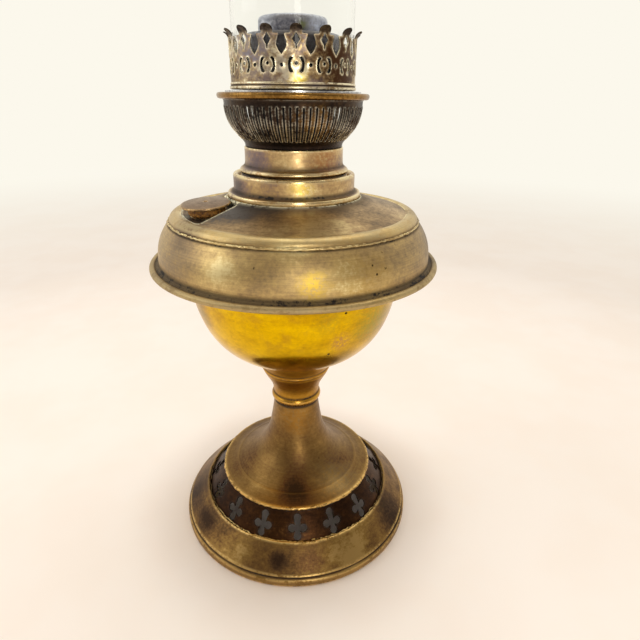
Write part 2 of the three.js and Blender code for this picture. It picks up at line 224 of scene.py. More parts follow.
def inside(points, loop):
    """Which of the points lie inside the closed loop."""
    x, y = points[:, 0], points[:, 1]
    hit = np.zeros(len(points), bool)
    for (x0, y0), (x1, y1) in zip(loop, loop[1:] + loop[:1]):
        crosses = (y0 > y) != (y1 > y)
        with np.errstate(divide="ignore", invalid="ignore"):
            at = x0 + (y - y0) / (y1 - y0) * (x1 - x0)
        hit ^= crosses & (x < at)
    return hit


def within(points, loops):
    """Which of the points lie inside any of the loops; each loop tests only the points near it."""
    hit = np.zeros(len(points), bool)
    for loop in loops:
        low, high = np.min(loop, 0), np.max(loop, 0)
        near = np.flatnonzero(((points >= low) & (points <= high)).all(1))
        hit[near] |= inside(points[near], loop)
    return hit


def nearest(points, targets):
    """Distance from each point to the closest target."""
    best = np.full(len(points), 1e9)
    for chunk in np.array_split(np.asarray(targets, float), max(1, len(targets) // 200)):
        gaps = np.linalg.norm(points[:, None, :] - chunk[None, :, :], axis=2)
        best = np.minimum(best, gaps.min(1))
    return best


def pierced_wall(rail, thickness, holes, spacing, top=None, start=0.0, relief=None, edge=0.7):
    """A sheet bent round the axis along rail, cut by holes and trimmed by its top outline.

    rail is the outer face from bottom to top. holes and top are in (angle, distance up the rail).
    start is the angle of the join, which no hole may cross. relief(distance to an edge) lifts the face.
    """
    rail = np.array(rail, float)
    up = along(rail)
    mean_r = rail[:, 0].mean()
    top = top or [(start, up[-1]), (start + TAU, up[-1])]
    flat = lambda loop: [(a * mean_r, s) for a, s in loop]
    width = TAU * mean_r
    left = start * mean_r
    height = top[0][1]
    across = max(8, round(width / spacing))
    rise = max(2, round(height / spacing))
    bottom_edge = [(left + width * i / across, 0.0) for i in range(across)]
    right_edge = [(left + width, height * i / rise) for i in range(rise)]
    top_edge = resample(flat(top), spacing)[::-1]
    left_edge = [(left, height * i / rise) for i in range(rise - 1, 0, -1)]
    border = bottom_edge + right_edge + top_edge + left_edge
    cuts = [resample(flat(hole), spacing * 0.6, closed=True) for hole in holes]
    rims = np.array([q for cut in cuts for q in cut] + top_edge)
    low, high = np.min(border, 0), np.max(border, 0)
    xs = np.arange(low[0] + spacing / 2, high[0], spacing)
    ys = np.arange(low[1] + spacing / 2, high[1], spacing * 0.87)
    grid = np.array([(x + (spacing / 2 if j % 2 else 0), y) for j, y in enumerate(ys) for x in xs])
    fixed = np.concatenate([np.array(border)] + [np.array(c) for c in cuts])
    grid = grid[inside(grid, border) & ~within(grid, cuts)]
    grid = grid[nearest(grid, fixed) > spacing * 0.45]
    points = np.concatenate([fixed, grid])
    edges, at = [], 0
    for loop in [border] + cuts:
        edges += [(at + i, at + (i + 1) % len(loop)) for i in range(len(loop))]
        at += len(loop)
    made = delaunay_2d_cdt([Vector(q) for q in points], edges, [], 0, 1e-6)
    plane = np.array([tuple(v) for v in made[0]])
    faces = np.array([f for f in made[2] if len(f) == 3])
    middle = plane[faces].mean(1)
    faces = faces[inside(middle, border) & ~within(middle, cuts)]
    gap = nearest(plane, rims)
    r = np.interp(plane[:, 1], up, rail[:, 0])
    z = np.interp(plane[:, 1], up, rail[:, 1])
    tangent = np.gradient(rail, up, axis=0)
    tangent /= np.linalg.norm(tangent, axis=1, keepdims=True)
    nr = np.interp(plane[:, 1], up, tangent[:, 1])
    nz = -np.interp(plane[:, 1], up, tangent[:, 0])
    lift = relief(gap) if relief else np.zeros(len(gap))
    angle = plane[:, 0] / mean_r
    # The join's two edges are one: vertices on its right side become those on its left.
    right = np.flatnonzero(np.abs(plane[:, 0] - left - width) < 1e-4)
    lefts = np.flatnonzero(np.abs(plane[:, 0] - left) < 1e-4)
    target = np.arange(len(plane))
    for i in right:
        target[i] = lefts[np.argmin(np.abs(plane[lefts, 1] - plane[i, 1]))]
    faces = target[faces]

    def face_at(depth):
        rr, zz = r + nr * depth, z + nz * depth
        return np.stack([rr * np.cos(angle), rr * np.sin(angle), zz], 1)

    outer, inner = face_at(lift), face_at(lift - thickness)
    count = len(plane)
    a, b, c = (outer[faces[:, i]] for i in range(3))
    facing = (np.cross(b - a, c - a) * np.stack([a[:, 0], a[:, 1], 0 * a[:, 0]], 1)).sum()
    faces = faces if facing > 0 else faces[:, ::-1]
    directed = dict.fromkeys((f[i], f[(i + 1) % 3]) for f in faces for i in range(3))
    walls = [(j, i, i + count, j + count) for i, j in directed if (j, i) not in directed]
    all_faces = [tuple(f) for f in faces] + [tuple(f[::-1] + count) for f in faces] + walls
    # A bright band round every cut edge: bared metal with painted highlight.
    wear_and_glint = np.exp(-((gap / edge) ** 2))
    return Shape(np.concatenate([outer, inner]), all_faces, np.tile(wear_and_glint, 2), np.zeros(2 * count))


def in_angles(loop, rail, azimuth, base=0.0):
    """A loop of (millimetres round, millimetres up the rail) turned to (angle, millimetres up)."""
    radii = [r for r, _ in rail]
    return [(azimuth + x / np.interp(s + base, along(rail), radii), s + base) for x, s in loop]


def placed(name, data):
    """An object of the data, in the scene."""
    made = bpy.data.objects.new(name, data)
    bpy.context.scene.collection.objects.link(made)
    return made


def piece(name, body, nodes, slot, material, *shapes):
    """One object made of the shapes, riding on a body in place of its CAD nodes."""
    faces, at = [], 0
    for shape in shapes:
        faces += [tuple(int(i) + at for i in f) for f in shape.faces]
        at += len(shape.vertices)
    mesh = bpy.data.meshes.new(name)
    mesh.from_pydata((np.concatenate([shape.vertices for shape in shapes]) * MM).tolist(), [], faces)
    for label in ("wear_and_glint", "grime_and_shade"):
        values = np.concatenate([getattr(shape, label) for shape in shapes]).astype(np.float32)
        mesh.attributes.new(label, "FLOAT", "POINT").data.foreach_set("value", values)
    drop_loose(mesh)
    mesh.shade_smooth()
    mesh.set_sharp_from_angle(angle=math.radians(38))
    mesh.materials.append(material)
    made = placed(name, mesh)
    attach(made, body)
    if nodes:
        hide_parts(*nodes)


def detailed(node_name, body, slot, material, *shapes):
    """The piece that replaces the one CAD node it is named after."""
    piece(node_name + "_fine", body, [node_name], slot, material, *shapes)


def drop_loose(mesh):
    """Removes the vertices that no face uses."""
    work = bmesh.new()
    work.from_mesh(mesh)
    bmesh.ops.delete(work, geom=[v for v in work.verts if not v.link_faces], context="VERTS")
    work.to_mesh(mesh)
    work.free()


def ripple(angle, z, scale, seed):
    """Smooth noise round the lamp, from -1 to 1."""
    return noise.noise(Vector((math.cos(angle) * scale, math.sin(angle) * scale, z * 0.05 + seed)))


def handmade(amount, seed, scale=1.6):
    """Relief of spun sheet that isn't quite round."""
    return lambda angle, r, z: amount * (ripple(angle, z, scale, seed) - 0.5)


# ---- materials ----
def feed(made, sockets):
    """Sets a node's sockets to constants, or links them to other nodes' sockets."""
    for key, value in sockets.items():
        if isinstance(value, bpy.types.NodeSocket):
            made.id_data.links.new(value, made.inputs[key])
        else:
            made.inputs[key].default_value = value


def node(kind, sockets, tree=None, **settings):
    """A shader node, in the given tree or in the one that its inputs come from."""
    tree = tree or next(v.id_data for v in sockets.values() if isinstance(v, bpy.types.NodeSocket))
    made = tree.nodes.new("ShaderNode" + kind)
    for key, value in settings.items():
        setattr(made, key, value)
    feed(made, sockets)
    return made


def maths(operation, a, b=0.0, clamp=False):
    return node("Math", {0: a, 1: b}, operation=operation, use_clamp=clamp).outputs[0]


def total(*values):
    return functools.reduce(lambda a, b: maths("ADD", a, b), values)


def times(*values):
    return functools.reduce(lambda a, b: maths("MULTIPLY", a, b), values)


def centred(value):
    """Noise about 0 instead of about 0.5."""
    return maths("SUBTRACT", value, 0.5)


def between(value, low, high, to_low=0.0, to_high=1.0):
    """Smooth step of value from low to high."""
    return node("MapRange", {
        "Value": value, "From Min": low, "From Max": high, "To Min": to_low, "To Max": to_high},
        interpolation_type="SMOOTHSTEP").outputs["Result"]


def mix(amount, a, b):
    """Colour a turned towards colour b."""
    return node("Mix", {0: amount, 6: a, 7: b}, data_type="RGBA").outputs[2]


def noise_of(place, scale, detail=4.0, roughness=0.6):
    return node("TexNoise", {
        "Vector": place, "Scale": scale, "Detail": detail, "Roughness": roughness,
        "Distortion": 0.0}).outputs["Fac"]


def stretched(place, x, y, z):
    return node("VectorMath", {0: place, 1: (x, y, z)}, operation="MULTIPLY").outputs[0]


def bumped(height, strength, distance):
    return node("Bump", {"Strength": strength, "Distance": distance, "Height": height}).outputs["Normal"]


def rgb(code):
    """Linear colour of a hexadecimal display colour."""
    parts = [int(code[i:i + 2], 16) / 255 for i in (0, 2, 4)]
    return tuple(p / 12.92 if p <= 0.04045 else ((p + 0.055) / 1.055) ** 2.4 for p in parts) + (1.0,)


def new_material(name):
    """A material, its shader and the place on the object, in metres."""
    material = bpy.data.materials.new(name)
    material.use_nodes = True
    tree = material.node_tree
    tree.nodes.clear()
    shader = node("BsdfPrincipled", {}, tree)
    node("OutputMaterial", {"Surface": shader.outputs["BSDF"]}).location = (300, 0)
    return material, shader, node("TexCoord", {}, tree).outputs["Object"]


GRIME_AND_SHADE = rgb("231a13")
PIT = rgb("1d140c")


def brass(name, tones, seed, rough=(0.28, 0.45), cloud=1.0, streak=0.5, speckle=1.0, pits=0.3, bump=0.3,
          patches=(), stain=None, tints=(), shine=None):
    """Aged brass: mottled patina, tarnish in grooves, bright worn ridges, spinning lines and pits.

    tones are display colours from light to dark, as the patina deepens, and shine is that of the bright
    edges, bared metal with painted highlight. patches are darker or lighter places: azimuth, radius, height,
    reach, change of depth.
    stain is a colour and its amount all over, and tints are colours in one place: azimuth, radius,
    height, reach, colour, amount.
    """
    material, shader, here = new_material(name)
    tree = material.node_tree
    place = node("VectorMath", {0: here, 1: (seed, -seed, 0.0)}, operation="ADD").outputs[0]
    x, y, z = node("SeparateXYZ", {"Vector": here}).outputs
    radius = maths("SQRT", total(times(x, x), times(y, y)))

    broad = noise_of(stretched(place, 1, 1, 1.8), 24.0, 5.0, 0.6)
    middling = noise_of(stretched(place, 1, 1, 1.6), 95.0, 5.0, 0.65)
    fine = noise_of(place, 520.0, 4.0, 0.7)
    # Spinning lines change fast along the radius and the height, and slowly round the lamp.
    fast, slow = 1500.0, 30.0
    round_the_lamp = node("CombineXYZ", {
        "X": total(times(radius, fast), times(x, slow)),
        "Y": total(times(z, fast), times(y, slow)),
        "Z": seed}).outputs[0]
    lines = noise_of(round_the_lamp, 1.0, 3.0, 0.65)
    wear_and_glint, grime_and_shade = (node("Attribute", {}, tree, attribute_name=label).outputs["Fac"]
                  for label in ("wear_and_glint", "grime_and_shade"))

    depth = total(
        0.5, times(centred(broad), 1.3 * cloud), times(centred(middling), 0.9 * cloud),
        times(centred(fine), 0.7 * speckle), times(centred(lines), 0.6 * streak))

    def near(centre, reach, amount):
        """amount at the centre, fading raggedly to nothing at reach."""
        middle = [c * MM for c in around(*centre)]
        gap = node("VectorMath", {0: here, 1: middle}, operation="DISTANCE").outputs["Value"]
        ragged = total(gap, times(centred(middling), 0.9 * reach * MM))
        return between(ragged, reach * MM, 0.1 * reach * MM, 0.0, amount)

    for *centre, reach, change in patches:
        depth = total(depth, near(centre, reach, change))
    ramp = node("ValToRGB", {"Fac": depth})
    stops = ramp.color_ramp.elements
    for i, tone in enumerate(tones):
        at = 0.18 + 0.64 * i / (len(tones) - 1)
        stop = stops[i] if i < len(stops) else stops.new(at)
        stop.position = at
        stop.color = rgb(tone)
    tone = ramp.outputs["Color"]
    if stain:
        spots = noise_of(place, 60.0)
        tone = mix(between(spots, 0.53, 0.68, 0.0, stain[1]), tone, rgb(stain[0]))
    for *centre, reach, colour, amount in tints:
        patchy = times(near(centre, reach, amount), between(fine, 0.35, 0.55))
        tone = mix(patchy, tone, rgb(colour))

    # Bright edges turn towards shine: bared metal with painted highlight. Dark marks turn towards a
    # near-black: grime with painted shade in grooves, recesses and between parts.
    worn_and_glint = times(wear_and_glint, between(total(fine, middling), 0.85, 1.05))
    grimed_and_shaded = maths("MULTIPLY", grime_and_shade, between(total(fine, middling), 0.75, 1.05, 1.15, 0.7), True)
    tone = mix(grimed_and_shaded, tone, GRIME_AND_SHADE)
    tone = mix(worn_and_glint, tone, rgb(shine or tones[0]))
    cells = node("TexVoronoi", {"Vector": place, "Scale": 120.0})
    chosen = between(noise_of(place, 70.0, 2.0), 0.55, 0.62)
    speck = times(between(cells.outputs["Distance"], 0.11, 0.06), chosen, pits)
    tone = mix(speck, tone, PIT)

    roughness = total(between(depth, 0.2, 0.8, *rough), times(grime_and_shade, 0.25), times(worn_and_glint, -0.1))
    metallic = maths("SUBTRACT", 1.0, times(grimed_and_shaded, 0.5), True)
    height = total(times(lines, 0.8 * streak), times(fine, 0.4), times(middling, 0.7), times(speck, -2.5))
    feed(shader, {"Normal": bumped(height, bump, 0.0002), "Base Color": tone, "Metallic": metallic,
                  "Roughness": roughness})
    return material


def glass(name):
    """Clear blown glass with faint dust and a thin greenish tint."""
    material, shader, place = new_material(name)
    dust = noise_of(place, 900.0, 3.0, 0.7)
    feed(shader, {"Base Color": (0.985, 0.99, 0.985, 1), "Transmission Weight": 1.0, "IOR": 1.3,
                  "Roughness": between(dust, 0.45, 0.8, 0.0, 0.1)})
    return material


def cotton(name):
    """Woven lamp wick, charred at the top."""
    material, shader, place = new_material(name)
    x, y, z = node("SeparateXYZ", {"Vector": place}).outputs
    turn = maths("ARCTAN2", x, y)
    warp = maths("SINE", maths("MULTIPLY", turn, 90.0))
    weft = maths("SINE", maths("MULTIPLY", z, 4200.0))
    weave = maths("MULTIPLY", warp, weft)
    fuzz = noise_of(place, 700.0, 5.0, 0.7)
    top = span("wick")[2] * MM
    charred = between(maths("ADD", z, maths("MULTIPLY", fuzz, 0.004)), top - 0.007, top - 0.001)
    tone = mix(between(weave, -0.6, 0.8), rgb("8d8062"), rgb("d8cdb0"))
    tone = mix(charred, tone, rgb("120e0b"))
    feed(shader, {"Normal": bumped(maths("ADD", weave, fuzz), 0.7, 0.0004), "Base Color": tone,
                  "Roughness": 0.95, "Sheen Weight": 0.3})
    return material


def cork(name):
    """Oil-stained cork washer."""
    material, shader, place = new_material(name)
    grain = noise_of(place, 420.0, 6.0, 0.75)
    cells = node("TexVoronoi", {"Vector": place, "Scale": 700.0}).outputs["Distance"]
    tone = mix(between(grain, 0.35, 0.65), rgb("5a3513"), rgb("c98d3c"))
    feed(shader, {"Normal": bumped(cells, 0.6, 0.0004), "Base Color": tone,
                  "Roughness": between(grain, 0.3, 0.7, 0.5, 0.85)})
    return material


FOOT_BRASS = brass(
    "foot_brass", ("b09058", "92733f", "785a34", "553f2a", "3a2a1e"), 0.11, (0.36, 0.5), 0.5, 0.35, 0.8, 0.7,
    patches=((-100, 74, 14, 9, 0.3), (-149, 75, 14, 16, 0.25), (-122, 77, 11, 16, -0.2),
             (-92, 75, 13, 16, 0.12), (-63, 76, 13, 20, -0.35), (-27, 75, 13, 22, 0.3),
             (188, 74, 14, 30, 0.15)),
    tints=((-84, 76, 12, 14, "6a4438", 0.3),), shine="ecc880")
CONE_BRASS = brass(
    "cone_brass", ("b8965a", "987744", "806237", "67492c", "3f2e20"), 0.23, (0.34, 0.46), 0.4, 0.35, 0.6, 0.5,
    patches=((-92, 42, 41, 16, 0.32), (-90, 28, 52, 13, 0.15), (-90, 17, 84, 16, -0.05),
             (-163, 39, 43, 20, 0.15), (-29, 36, 45, 20, 0.15), (-123, 46, 39, 18, -0.15),
             (-57, 48, 39, 18, -0.15)),
    # The grey-olive tint at azimuth -50 is a painted sheen.
    tints=((-90, 17, 82, 18, "b07a24", 0.4), (-50, 44, 40, 26, "84785a", 0.35)), shine="e0b970")
VENT_BRASS = brass(
    "vent_brass", ("7a5630", "462d1a", "2e1d13", "1f140e"), 0.37, (0.32, 0.48), 0.6, 0.3, 0.8, 0.4,
    shine="f2d28c")
STEM_BRASS = brass(
    "stem_brass", ("e6bb58", "c69436", "a4741e", "774a12"), 0.05, (0.26, 0.4), 0.4, 0.3, 0.5, 0.4,
    patches=((-90, 22, 112, 9, 0.12),), shine="d6aa5e")
# The bowl's bright saturated yellow is a painted reflection of the bright floor over the brass. The two olive
# tints near its top are a painted reflection of the flange's shade.
BOWL_BRASS_WITH_REFLECTION = brass(
    "bowl_brass", ("ffe010", "edc206", "cb9e08", "927412"), 0.51, (0.12, 0.26), 0.5, 0.25, 0.5, 1.2, 0.2,
    patches=((-25, 60, 160, 42, 0.25), (-150, 62, 168, 16, 0.25), (-60, 52, 146, 14, 0.2)),
    stain=("9a6530", 0.25),
    tints=((-74, 65, 176, 14, "b8a62e", 0.35), (-46, 62, 168, 22, "a8a838", 0.4),
           (-66, 60, 161, 9, "b07a5a", 0.6)))
FONT_BRASS = brass(
    "font_brass", ("ecd8a0", "d2b67c", "b69a6a", "927b5c", "685746"), 0.77, (0.38, 0.48), 0.45, 0.45,
    0.7, 0.9,
    patches=((-139, 80, 204, 26, 0.12), (-116, 80, 206, 18, -0.2), (-86, 80, 205, 12, 0.05),
             (-71, 80, 204, 18, -0.2), (-41, 80, 205, 24, 0.1), (-5, 80, 205, 34, 0.3),
             (-140, 72, 221, 18, 0.25), (-92, 72, 220, 16, -0.25), (-47, 72, 221, 14, -0.1)),
    # At azimuth -84 the bright yellow tint is a painted highlight, the window's streak on the wall.
    tints=((-84, 81, 203, 11, "f6d030", 0.6), (-66, 81, 203, 24, "c8a048", 0.35),
           (-150, 81, 204, 34, "a08c74", 0.35), (-56, 76, 213.9, 0.9, "120c06", 1.0),
           (-56, 79.3, 206.6, 1.0, "120c06", 1.0), (-69, 80.8, 198.2, 0.8, "120c06", 1.0)))
CROWN_BRASS = brass(
    "shoulder_brass", ("d4bc88", "b4966a", "907754", "6e5c48", "504640"), 0.63, (0.38, 0.5), 0.5, 0.5,
    0.7, 0.4,
    patches=((-150, 48, 227, 26, 0.5), (-128, 49, 227, 16, 0.3), (-80, 58, 225, 36, -0.32),
             (-20, 50, 227, 30, -0.1), (-110, 44, 228, 18, 0.2), (-60, 42, 229, 14, 0.2)),
    tints=((-147, 41, 230, 9, "a9b89a", 0.8), (-160, 64, 222, 6, "c6cdbb", 0.6),
           (-138, 48, 227, 22, "6e6a66", 0.5)), shine="e8e0c0")
COLLAR_BRASS = brass(
    "collar_brass", ("f0dcaa", "d4b682", "b6966a", "927a6c", "685a56"), 0.91, (0.26, 0.42), 0.5, 0.3,
    0.8, 0.5,
    # At azimuth -84 on the collar band, the lighter patch and the yellow tint are a painted highlight.
    patches=((-155, 35, 238, 16, 0.25), (-94, 28, 250, 12, -0.2), (-84, 35, 239, 16, -0.2),
             (-137, 28, 251, 12, 0.25)),
    tints=((-84, 35, 239, 9, "f2d235", 0.45), (-145, 28, 251, 18, "86767a", 0.6),
           (-53, 28, 251, 14, "b06c34", 0.5)))
BASKET_BRASS = brass(
    "basket_brass", ("7e5e2e", "4a341d", "2d1f16", "1a120e", "100c0a"), 0.31, (0.24, 0.4), 0.7, 0.1, 0.7, 0.3,
    patches=((-72, 37, 272, 16, -0.35), (-120, 37, 275, 12, 0.2)), shine="f4ead4")
RIM_BRASS = brass(
    "rim_brass", ("a57d40", "7a5828", "5c411e", "3c2a18"), 0.17, (0.26, 0.4), 0.6, 0.4, 0.6, 0.3)
GALLERY_BRASS = brass(
    "gallery_brass", ("f2e6c4", "c6ac7c", "967c56", "665038", "492f1c"), 0.43, (0.3, 0.44), 1.1, 0.1,
    1.5, 0.8,
    patches=((-40, 33, 298, 24, 0.4), (-108, 33, 296, 14, -0.2), (-85, 33, 292, 10, -0.2)),
    # The yellow tint at azimuth -85 is a painted highlight.
    tints=((-128, 33, 303, 22, "97929c", 0.65), (-84, 33, 306, 11, "8d8790", 0.5),
           (-85, 33, 290.5, 7, "e8d030", 0.5)), stain=("8d8088", 0.6))
CAP_BRASS = brass(
    "cap_brass", ("c7a574", "94785a", "71583f", "4c3b2e"), 0.29, (0.3, 0.44), 0.5, 0.4, 0.7, 0.3)
NICKEL = brass(
    "nickel", ("f6f6f6", "dcdcde", "a9a9ae", "6b6a6e"), 0.83, (0.2, 0.36), 0.7, 0.2, 1.2, 0.8)
SPREADER_NICKEL = brass(
    "spreader_nickel", ("e4e8f4", "b4b8c8", "868a9c", "505262"), 0.47, (0.26, 0.38), 0.8, 0.2, 1.6, 0.9,
    patches=((-98, 18, 314, 12, 0.1), (-82, 18, 314, 5, 0.3)),
    # The pale blue tint is a painted highlight and the greenish tint a painted reflection streak.
    tints=((-56, 18, 316, 6, "dfe8ff", 0.7), (-74, 18, 315, 4, "a8b478", 0.6)))
GREY_TIN = brass(
    "grey_tin", ("b3b4ba", "83848e", "62626b", "424147"), 0.71, (0.34, 0.5), 0.8, 0.4, 1.0, 0.6)
GLASS = glass("clear_glass")
COTTON = cotton("cotton")
CORK = cork("cork")


# ---- foot ----
def make_foot():
    rolled_edge = [(79.6, 0.0)] + arc((81.2, 1.3), 1.3, -90, 0, 4)
    step = curve([(82.5, 3.2), (82.2, 4.8), (81.2, 5.9), (80.7, 6.3), (80.9, 7.0), (80.5, 7.7),
                  (79.6, 8.5)], 4)
    slope = curve([(79.6, 8.5), (76.6, 11.5), (73.2, 15.0), (70.0, 18.3), (67.5, 20.7)], 5)
    crimped_top = curve([(67.5, 20.7), (66.9, 21.25), (66.2, 21.35), (65.75, 20.9), (65.9, 20.2)], 3)
    inner = curve([(66.3, 19.8), (70.0, 16.2), (75.4, 10.6), (79.0, 6.9), (79.6, 4.8)], 4)

    def relief(angle, r, z):
        crimp = 0.5 * ripple(angle, 0, 26, 3.1) if z > 20.2 and r < 67.8 else 0.0
        return crimp + 0.18 * (ripple(angle, z, 1.6, 1.0) - 0.5)

    skirt = spun(rolled_edge + step + slope + crimped_top + inner, 1.2, 288, relief)
    # The crimp carries a painted highlight: its bright edge is strong in front, towards the camera, and dull
    # behind.
    front_glint = np.clip(-1.6 * skirt.vertices[:, 1] / 66.0 - 0.5, 0.15, 1.0)
    skirt.wear_and_glint *= np.where(skirt.vertices[:, 2] > 19.0, front_glint, 1.0)
    detailed("foot_skirt", "lamp_base", "foot_brass", FOOT_BRASS, skirt)


def quatrefoil():
    """Cross-shaped vent with round arms and a longer foot, in millimetres about its middle."""
    arms = ((0, 3.7, 2.55), (90, 6.6, 2.5), (180, 3.7, 2.55), (270, 4.9, 2.45))
    corner_reach = 2.3
    outline = []
    for direction, reach, radius in arms:
        a, corner = math.radians(direction), math.radians(direction + 45)
        centre = (reach * math.cos(a), reach * math.sin(a))
        outline += arc(centre, radius, direction - 128, direction + 128, 9)
        outline.append((corner_reach * math.cos(corner), corner_reach * math.sin(corner)))
    return outline


def make_vents():
    low, high = (65.9, 18.6), (52.9, 34.6)
    rail = curve([low, (62.6, 22.9), (59.3, 27.1), (56.0, 31.1), high], 5)
    middle = 0.48 * math.dist(low, high)
    holes = [in_angles(quatrefoil(), rail, TAU * (i / VENTS - 0.25), middle) for i in range(VENTS)]
    wall = pierced_wall(rail, 0.7, holes, 1.6, start=-TAU / 4 - TAU / VENTS / 2, edge=0.55)
    # Round each vent the edge band is made dark instead of bright.
    wall.grime_and_shade = 0.6 * wall.wear_and_glint
    wall.wear_and_glint = 0 * wall.wear_and_glint
    ragged = lambda a, r, z: 1.0 * ripple(a, 0, 30, 5.3) - 0.5
    seam = lathe(arc((65.55, 20.5), 0.42, 0, 330, 11), 400, ragged)
    # Painted highlight: the seam's bright dashes are strong only on the side facing the camera.
    front = [max(0.0, -math.sin(math.atan2(y, x))) for x, y, _ in seam.vertices]
    seam.wear_and_glint = np.clip(np.array(front) * 1.6 - 0.5, 0.1, 1.0)
    detailed("vent_ring", "lamp_base", "foot_brass", VENT_BRASS, wall, seam)


def make_cone():
    lip = curve([(52.7, 35.0), (53.6, 35.3), (53.9, 36.2), (53.5, 37.2)], 4)
    outer = curve([(53.5, 37.2), (52.4, 37.5), (50.0, 37.95), (47.0, 38.8), (44.4, 39.9), (43.4, 40.35),
                   (42.2, 40.75), (38.0, 43.0), (31.0, 48.0), (25.6, 54.0), (21.8, 61.0), (19.2, 68.0),
                   (17.5, 76.0), (16.2, 84.0), (15.4, CONE_TOP)], 6)
    inner = curve([(14.2, CONE_TOP), (15.2, 82.0), (17.9, 68.0), (24.4, 53.0), (37.4, 41.9), (50.0, 36.9),
                   (52.2, 36.2)], 5)

    def relief(angle, r, z):
        crimp = 0.6 * ripple(angle, 0, 26, 8.0) if z < 37 else 0
        return 0.25 * (ripple(angle, z, 1.4, 2.0) - 0.3) + crimp

    cone = spun(lip + outer + inner, 1.4, 280, relief)
    below_top = CONE_TOP - cone.vertices[:, 2]
    # Painted shade: the top 1.7 mm of the cone, in the gap under the socket, is darkened, and its bright
    # edges are dropped within 4 mm of the top.
    cone.grime_and_shade = np.maximum(cone.grime_and_shade, np.clip((1.7 - below_top) / 0.5, 0, 1))
    cone.wear_and_glint *= below_top > 4
    detailed("stem_cone", "lamp_base", "foot_brass", CONE_BRASS, cone)


def make_socket():
    outline = (
        [(13.4, SOCKET_Z)]
        + curve([(15.2, SOCKET_Z), (16.3, 91.7), (16.95, 93.0), (16.95, 94.4), (16.2, 95.7), (15.7, 96.3)], 4)
        + curve([(15.7, 96.6), (15.9, 99.0), (16.3, 101.6), (17.1, 104.2), (18.8, 107.5), (20.7, 110.8),
                 (22.1, 113.4), (22.6, 115.2)], 5)
        + arc((22.7, 116.2), 0.6, -60, 60, 6)
        + curve([(22.9, 117.4), (23.8, 119.8), (25.1, 122.8), (26.2, SOCKET_TOP - 0.5)], 5)
        + [(26.2, SOCKET_TOP), (13.4, SOCKET_TOP)]
    )
    detailed("bowl_socket", "lamp_base", "stem_brass", STEM_BRASS,
             spun(outline, 1.0, 128, handmade(0.08, 4.0)))


# ---- font ----
def make_bowl():
    floor = span("bowl")[1]
    body = curve([(27.0, floor + 0.2), (34.0, 129.1), (40.6, 133.0), (47.0, 138.1), (52.6, 144.5),
                  (57.2, 152.0), (60.5, 160.3), (62.9, 169.4), (64.5, 178.0), (66.1, 183.2),
                  (69.0, 186.0), (73.6, 186.6)], 6)
    lip = arc((75.0, 187.85), 1.2, -90, 90, 8) + [(69.0, 188.8)]
    # The inner face begins at the inner edge of the flange, just under the end of the lip.
    inner = offset(body, 1.1)[::-1][6:]
    outline = [(13.4, floor), (26.4, floor)] + body + lip + inner + [(13.4, floor + 1.2)]
    detailed("bowl", "lamp_base", "bowl_brass", BOWL_BRASS_WITH_REFLECTION, spun(outline, 2.0, 220, handmade(0.35, 6.0, 1.3)))


def shoulder_rail():
    """The shoulder's slope, which sweeps up to meet the collar."""
    foot, bend = (65.8, 222.2), (43.6, 228.45)
    sweep = curve([bend, (41.4, 229.15), (39.9, 229.85), (39.0, 230.7)], 5)
    return resample([foot, bend], 1.8)[:-1] + sweep


def pocket_outline(rail):
    """Rounded sector stamped into the shoulder round the filler, in (angle, distance up the rail)."""
    half = math.radians(20.2)
    length = along(rail)[-1]
    low, high, fillet = 0.9, length - 0.35, 2.6
    corners = [(-half, low), (half, low), (half, high), (-half, high)]
    outline = []
    for (a, s), quadrant in zip(corners, (180, 270, 0, 90)):
        round_angle = fillet / np.interp(s, along(rail), [q[0] for q in rail])
        middle = (a - math.copysign(round_angle, a), s + math.copysign(fillet, length / 2 - s))
        for t in np.radians(np.linspace(quadrant, quadrant + 90, 6)):
            angle = CAP_ANGLE + middle[0] + round_angle * math.cos(t)
            outline.append((angle, middle[1] + fillet * math.sin(t)))
    return outline


def pocket_walls(hole, rail):
    """Sides and floor of the stamped pocket, with a round hole for the filler neck."""
    reach = 50.0
    loop = np.array(resample([(a * reach, s) for a, s in hole], 0.9, closed=True))
    a = loop[:, 0] / reach
    r, z = (np.interp(loop[:, 1], along(rail), [q[i] for q in rail]) for i in (0, 1))
    rim = np.stack([r * np.cos(a), r * np.sin(a), z], 1)
    centre = np.array([FILLER_FOOT.x, FILLER_FOOT.y, 0.0])
    flat = (rim - centre) * (1, 1, 0)
    away = np.linalg.norm(flat, axis=1, keepdims=True)
    inward = -flat / away
    rows = [rim, rim + (0, 0, -0.35) + inward * 0.25]
    for share, inset in ((0.5, 0.6), (0.85, 1.0), (0.97, 1.6), (1.0, 2.4)):
        row = rim + inward * inset * np.minimum(1, away / 20)
        row[:, 2] = z + (POCKET_Z - z) * share
        rows.append(row)
    neck_hole = centre + 9.6 * flat / away
    neck_hole[:, 2] = POCKET_Z
    rows.append(neck_hole)
    n = len(loop)
    vertices = np.concatenate(rows)
    faces = [(i * n + k, (i + 1) * n + k, (i + 1) * n + (k + 1) % n, i * n + (k + 1) % n)
             for i in range(len(rows) - 1) for k in range(n)]
    p, q, s = vertices[list(faces[-n][:3])]
    if np.cross(q - p, s - p)[2] < 0:
        faces = [f[::-1] for f in faces]
    # A bright rim round the pocket, bared metal with painted highlight, and a darker floor round the neck.
    wear_and_glint = np.repeat([1.0, 0.9, 0, 0, 0, 0, 0], n)
    grime_and_shade = np.repeat([0, 0, 0, 0, 0.5, 0.3, 0.6], n)
    return Shape(vertices, faces, wear_and_glint, grime_and_shade)


